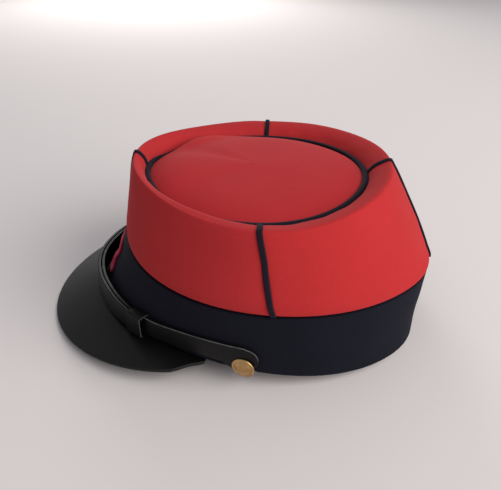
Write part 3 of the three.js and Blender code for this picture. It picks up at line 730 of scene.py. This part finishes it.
class Nodes:
    """Short calls for building a node tree."""

    def __init__(self, tree):
        self.tree = tree

    def add(self, kind, **settings):
        node = self.tree.nodes.new(kind)
        for name, value in settings.items():
            if hasattr(node, name):
                setattr(node, name, value)
            else:
                self.feed(node.inputs[name.replace("_", " ").title()], value)
        return node

    def feed(self, socket, value):
        if isinstance(value, bpy.types.NodeSocket):
            self.tree.links.new(value, socket)
        else:
            socket.default_value = value

    def math(self, operation, *values):
        node = self.add("ShaderNodeMath", operation=operation)
        for socket, value in zip(node.inputs, values):
            self.feed(socket, value)
        return node.outputs[0]

    def ramp(self, value, low, high, to_low=0.0, to_high=1.0):
        node = self.add("ShaderNodeMapRange", interpolation_type="SMOOTHSTEP")
        for socket, number in zip(node.inputs, (value, low, high, to_low, to_high)):
            self.feed(socket, number)
        return node.outputs[0]

    def mix(self, factor, first, second, blend="MIX"):
        node = self.add("ShaderNodeMix", data_type="RGBA", blend_type=blend)
        self.feed(node.inputs[0], factor)
        self.feed(node.inputs[6], first)
        self.feed(node.inputs[7], second)
        return node.outputs[2]

    def noise(self, place, scale, detail=3.0, roughness=0.55):
        node = self.add("ShaderNodeTexNoise")
        self.feed(node.inputs["Vector"], place)
        self.feed(node.inputs["Scale"], scale)
        self.feed(node.inputs["Detail"], detail)
        self.feed(node.inputs["Roughness"], roughness)
        return node.outputs["Fac"]

    def stretch(self, place, scale):
        node = self.add("ShaderNodeMapping")
        self.feed(node.inputs["Vector"], place)
        node.inputs["Scale"].default_value = scale
        return node.outputs[0]


def new_group(name, inputs, outputs):
    """A shader node group with named inputs, each (name, kind, value), and outputs (name, kind)."""
    tree = bpy.data.node_groups.new(name, "ShaderNodeTree")
    for label, kind, value in inputs:
        socket = tree.interface.new_socket(label, in_out="INPUT", socket_type=kind)
        socket.default_value = value
    for label, kind in outputs:
        tree.interface.new_socket(label, in_out="OUTPUT", socket_type=kind)
    nodes = Nodes(tree)
    source = nodes.add("NodeGroupInput")
    target = nodes.add("NodeGroupOutput")
    return tree, nodes, source.outputs, target.inputs


FLOAT, COLOUR = "NodeSocketFloat", "NodeSocketColor"


def fulled_wool_group():
    """Wool milled to a felt-like face: crossed fibres, soft clouds of tone and paler fibre ends."""
    tree, n, given, made = new_group(
        "fulled_wool",
        [("Colour", COLOUR, (1, 1, 1, 1)), ("Clouds", FLOAT, 0.1), ("Fibres", FLOAT, 0.2),
         ("Lint", FLOAT, 0.1)],
        [("Colour", COLOUR), ("Roughness", FLOAT), ("Height", FLOAT)])
    place = n.add("ShaderNodeTexCoord").outputs["Object"]
    clouds = n.noise(place, 38.0, 4.0)
    one_way = n.noise(n.stretch(place, (1, 1, 0.22)), 3400.0, 3.0, 0.6)
    other_way = n.noise(n.stretch(place, (0.25, 0.25, 1)), 3100.0, 3.0, 0.6)
    fibres = n.math("MULTIPLY", n.math("ADD", one_way, other_way), 0.5)
    pills = n.noise(place, 900.0, 3.0, 0.6)
    tone = n.math("ADD", 1.0, n.math("MULTIPLY", n.math("SUBTRACT", clouds, 0.5), given["Clouds"]))
    tone = n.math("ADD", tone, n.math("MULTIPLY", n.math("SUBTRACT", fibres, 0.5), given["Fibres"]))
    pilled = n.math("MULTIPLY", given["Fibres"], 0.6)
    tone = n.math("ADD", tone, n.math("MULTIPLY", n.math("SUBTRACT", pills, 0.5), pilled))
    grey = n.add("ShaderNodeCombineColor")
    for socket in grey.inputs[:3]:
        n.feed(socket, tone)
    shaded = n.mix(1.0, given["Colour"], grey.outputs[0], "MULTIPLY")
    ends = n.ramp(n.noise(place, 1500.0, 2.0, 0.5), 0.66, 0.8)
    pale = n.mix(n.math("MULTIPLY", ends, given["Lint"]), shaded, (0.55, 0.5, 0.5, 1))
    n.feed(made["Colour"], pale)
    n.feed(made["Roughness"], n.ramp(fibres, 0.3, 0.7, 0.86, 1.0))
    height = n.math("ADD", n.math("MULTIPLY", fibres, 0.55), n.math("MULTIPLY", pills, 0.45))
    n.feed(made["Height"], height)
    return tree


def leather_group():
    """Blacked leather: fine pebbled grain, faint scuffs and cloudy wax."""
    tree, n, given, made = new_group(
        "blacked_leather",
        [("Colour", COLOUR, (0, 0, 0, 1)), ("Gloss", FLOAT, 0.4), ("Grain", FLOAT, 1.0)],
        [("Colour", COLOUR), ("Roughness", FLOAT), ("Height", FLOAT)])
    place = n.add("ShaderNodeTexCoord").outputs["Object"]
    cells = n.add("ShaderNodeTexVoronoi", feature="F1")
    n.feed(cells.inputs["Vector"], place)
    n.feed(cells.inputs["Scale"], 1150.0)
    pores = n.noise(place, 900.0, 4.0, 0.6)
    clouds = n.noise(place, 60.0, 4.0, 0.6)
    scuffs = n.ramp(n.noise(n.stretch(place, (1, 0.12, 1)), 420.0, 3.0, 0.7), 0.66, 0.78)
    tone = n.mix(n.math("MULTIPLY", scuffs, 0.10), given["Colour"], (0.20, 0.19, 0.18, 1))
    n.feed(made["Colour"], tone)
    rough = n.math("ADD", given["Gloss"], n.math("MULTIPLY", n.math("SUBTRACT", clouds, 0.5), 0.22))
    rough = n.math("ADD", rough, n.math("MULTIPLY", scuffs, 0.12))
    n.feed(made["Roughness"], rough)
    height = n.math("ADD", n.math("MULTIPLY", cells.outputs["Distance"], 0.6), n.math("MULTIPLY", pores, 0.5))
    n.feed(made["Height"], n.math("MULTIPLY", height, given["Grain"]))
    return tree


def new_material(name):
    material = bpy.data.materials.new(name)
    material.use_nodes = True
    nodes = Nodes(material.node_tree)
    shader = material.node_tree.nodes["Principled BSDF"]
    return material, nodes, shader


def set_shader(shader, **values):
    for name, value in values.items():
        shader.inputs[name.replace("_", " ")].default_value = value


def place_group(nodes, tree, **values):
    node = nodes.add("ShaderNodeGroup", node_tree=tree)
    for name, value in values.items():
        nodes.feed(node.inputs[name], value)
    return node


def finish_with(nodes, shader, group, strength, distance):
    """Feeds a shader from a group's colour, roughness and height."""
    bump = nodes.add("ShaderNodeBump")
    bump.inputs["Strength"].default_value = strength
    bump.inputs["Distance"].default_value = distance
    nodes.feed(bump.inputs["Height"], group.outputs["Height"])
    nodes.feed(shader.inputs["Base Color"], group.outputs["Colour"])
    nodes.feed(shader.inputs["Roughness"], group.outputs["Roughness"])
    nodes.feed(shader.inputs["Normal"], bump.outputs["Normal"])


WOOL = fulled_wool_group()
LEATHER = leather_group()


def wool(name, colour, clouds, fibres, sheen, sheen_tint, lint=0.03):
    """Fulled wool cloth in one colour."""
    material, nodes, shader = new_material(name)
    group = place_group(nodes, WOOL, Colour=colour, Clouds=clouds, Fibres=fibres, Lint=lint)
    finish_with(nodes, shader, group, 0.4, 0.0002)
    set_shader(shader, Specular_IOR_Level=0.12, Sheen_Weight=sheen, Sheen_Roughness=0.45,
               Sheen_Tint=sheen_tint)
    return material


def braid(name, colour):
    """The same wool, plaited: coarser fibres and deeper relief."""
    material, nodes, shader = new_material(name)
    group = place_group(nodes, WOOL, Colour=colour, Clouds=0.2, Fibres=0.9, Lint=0.03)
    finish_with(nodes, shader, group, 0.5, 0.0003)
    set_shader(shader, Specular_IOR_Level=0.2, Sheen_Weight=0.03, Sheen_Roughness=0.4)
    return material


def leather(name, colour, gloss, grain, shine, cut_colour):
    """Black leather whose cut edges, marked by the attribute cut, are paler and duller."""
    material, nodes, shader = new_material(name)
    group = place_group(nodes, LEATHER, Colour=colour, Gloss=gloss, Grain=grain)
    finish_with(nodes, shader, group, 0.35, 0.0002)
    cut = nodes.add("ShaderNodeAttribute", attribute_name="cut").outputs["Fac"]
    place = nodes.add("ShaderNodeTexCoord").outputs["Object"]
    worn = nodes.ramp(nodes.noise(place, 260.0, 3.0, 0.6), 0.3, 0.6, 0.55, 1.0)
    mask = nodes.math("MULTIPLY", nodes.ramp(cut, 0.35, 0.85), worn)
    colour = nodes.mix(mask, group.outputs["Colour"], cut_colour)
    nodes.feed(shader.inputs["Base Color"], colour)
    rough = nodes.math("ADD", group.outputs["Roughness"], nodes.math("MULTIPLY", mask, 0.2))
    nodes.feed(shader.inputs["Roughness"], rough)
    set_shader(shader, Specular_IOR_Level=shine)
    return material


def brass(name):
    """Plain brass, brushed round and round, darker where it is rarely rubbed."""
    material, nodes, shader = new_material(name)
    place = nodes.add("ShaderNodeTexCoord").outputs["Object"]
    reach = nodes.add("ShaderNodeAttribute", attribute_name="reach").outputs["Fac"]
    rings = nodes.add("ShaderNodeTexNoise", noise_dimensions="1D")
    nodes.feed(rings.inputs["W"], reach)
    nodes.feed(rings.inputs["Scale"], 90.0)
    clouds = nodes.noise(place, 170.0, 3.0, 0.5)
    tarnish = nodes.ramp(clouds, 0.4, 0.68)
    colour = nodes.mix(tarnish, (0.56, 0.36, 0.155, 1), (0.40, 0.235, 0.095, 1))
    nodes.feed(shader.inputs["Base Color"], colour)
    nodes.feed(shader.inputs["Roughness"], nodes.ramp(clouds, 0.3, 0.7, 0.32, 0.44))
    bump = nodes.add("ShaderNodeBump")
    bump.inputs["Strength"].default_value = 0.12
    bump.inputs["Distance"].default_value = 0.00006
    nodes.feed(bump.inputs["Height"], nodes.math("ADD", rings.outputs["Fac"], clouds))
    nodes.feed(shader.inputs["Normal"], bump.outputs["Normal"])
    set_shader(shader, Metallic=1.0)
    return material


RED_NAP = dict(fibres=0.35, sheen=0.06, sheen_tint=(1, 0.45, 0.45, 1))
# The front panels' red is painted a little darker than the rear panels' and the top's: painted shade on the
# same cloth.
RED_FRONT_PAINTED_SHADE = wool("red_wool_front_painted_shade", (0.415, 0.025, 0.028, 1), clouds=0.16, **RED_NAP)
RED_REAR = wool("red_wool_rear", (0.43, 0.024, 0.026, 1), clouds=0.16, **RED_NAP)
RED_TOP = wool("red_wool_top", (0.43, 0.025, 0.029, 1), clouds=0.18, **RED_NAP)
NAVY = wool("navy_wool", (0.0055, 0.0060, 0.0115, 1), clouds=0.5, fibres=0.9, sheen=0.02,
            sheen_tint=(0.7, 0.7, 1, 1))
NAVY_BRAID = braid("navy_braid", (0.0085, 0.0065, 0.0140, 1))
BADGE_FELT = wool("badge_felt", (0.36, 0.014, 0.045, 1), clouds=0.2, fibres=0.6, sheen=0.15,
                  sheen_tint=(1, 0.5, 0.6, 1))
PEAK_LEATHER = leather("peak_leather", (0.0045, 0.0045, 0.0045, 1), gloss=0.34, grain=0.5,
                       shine=0.23, cut_colour=(0.008, 0.008, 0.008, 1))
STRAP_LEATHER = leather("strap_leather", (0.005, 0.005, 0.005, 1), gloss=0.44, grain=0.8,
                        shine=0.14, cut_colour=(0.15, 0.15, 0.15, 1))
BRASS = brass("brass")


# ---- The cap ----

def dress(piece, node, material):
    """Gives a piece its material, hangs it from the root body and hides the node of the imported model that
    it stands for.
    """
    piece.data.materials.append(material)
    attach(piece, "root")
    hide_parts(node)
    return piece


PANELS = (
    # place, from seam, to seam, seed, material
    ("front_left", "front", "left", 11, RED_FRONT_PAINTED_SHADE),
    ("rear_left", "left", "rear", 12, RED_REAR),
    ("rear_right", "rear", "right", 13, RED_REAR),
    ("front_right", "right", "whole", 14, RED_FRONT_PAINTED_SHADE),
)
for place, start, end, seed, material in PANELS:
    panel = crown_panel(f"panel_{place}", start, end, seed)
    dress(panel, f"crown_panel_{place}", material)
dress(crown_disk("sunken_top"), "crown_disk", RED_TOP)
dress(ring_braid("braid_ring"), "ring_braid", NAVY_BRAID)
for seam in ("front", "left", "rear", "right"):
    dress(seam_braid(f"braid_{seam}", seam), f"seam_braid_{seam}", NAVY_BRAID)
dress(band("tall_band"), "band", NAVY)
dress(badge("felt_badge"), "front_badge", BADGE_FELT)
dress(peak("leather_peak"), "peak", PEAK_LEATHER)
for word, side in (("left", 1), ("right", -1)):
    dress(strap(f"strap_{word}", side), f"chin_strap_{word}", STRAP_LEATHER)
    dress(loop(f"loop_{word}", side), f"strap_loop_{word}", STRAP_LEATHER)
    dress(button(f"brass_button_{word}", side), f"button_{word}", BRASS)


# ---- Floor, lights and camera ----

def floor(half=6):
    """A pale square floor, in metres."""
    mesh = bpy.data.meshes.new("floor")
    corners = [(-half, -half, 0), (half, -half, 0), (half, half, 0), (-half, half, 0)]
    mesh.from_pydata(corners, [], [(0, 1, 2, 3)])
    piece = bpy.data.objects.new("floor", mesh)
    bpy.context.scene.collection.objects.link(piece)
    material, _, shader = new_material("pale_floor")
    set_shader(shader, Base_Color=(0.72, 0.675, 0.665, 1), Roughness=0.9, Specular_IOR_Level=0.1)
    mesh.materials.append(material)


def area_light(name, place, size, power, colour, aim=(0, 0, 0.05)):
    """A round soft light, in metres and watts, aimed at the middle of the cap."""
    light = bpy.data.lights.new(name, "AREA")
    light.shape = "DISK"
    light.size, light.energy, light.color = size, power, colour
    lamp = bpy.data.objects.new(name, light)
    lamp.location = place
    lamp.rotation_euler = (Vector(aim) - Vector(place)).to_track_quat("-Z", "Y").to_euler()
    bpy.context.scene.collection.objects.link(lamp)


def room_light(colour, strength):
    world = bpy.data.worlds.new("room")
    world.use_nodes = True
    background = world.node_tree.nodes["Background"]
    background.inputs["Color"].default_value = colour
    background.inputs["Strength"].default_value = strength
    bpy.context.scene.world = world


# The camera: its place round the aim point, in the cap's frame, and its focal length in frame widths.
VIEW = dict(azimuth=89.05, elevation=31.61, roll=-7.37, distance=347.5, aim=(9.2, -10.2, 34.8),
            focal=1.1016)


def camera():
    """Looks at the aim point in the cap's frame, from its azimuth, elevation and distance."""
    azimuth, elevation, roll = np.radians([VIEW["azimuth"], VIEW["elevation"], VIEW["roll"]])
    level = np.array([np.sin(azimuth), -np.cos(azimuth), 0])
    back = level * np.cos(elevation) + np.array([0, 0, np.sin(elevation)])
    right = unit(np.cross(-back, [0, 0, 1]))
    up = np.cross(right, -back)
    rolled_right = np.cos(roll) * right - np.sin(roll) * up
    rolled_up = np.sin(roll) * right + np.cos(roll) * up
    turned = np.stack([rolled_right, rolled_up, back])
    place = to_row(np.array(VIEW["aim"]) + back * VIEW["distance"])
    lens = bpy.data.cameras.new("camera")
    lens.sensor_width = 36
    lens.lens = VIEW["focal"] * lens.sensor_width
    lens.clip_start = 0.01
    viewer = bpy.data.objects.new("camera", lens)
    viewer.matrix_world = Matrix.Translation(place) @ Matrix((turned @ CAP_AXES).T.tolist()).to_4x4()
    bpy.context.scene.collection.objects.link(viewer)
    bpy.context.scene.camera = viewer


floor()
room_light((0.93, 0.94, 1.0, 1), 0.43)
area_light("window", (0.62, 1.15, 0.85), size=1.5, power=25, colour=(1.0, 0.97, 0.94))
area_light("far_wall", (-1.4, -0.35, 0.5), size=0.8, power=8, colour=(1.0, 0.98, 0.95))
camera()
bpy.context.scene.view_settings.view_transform = "Standard"
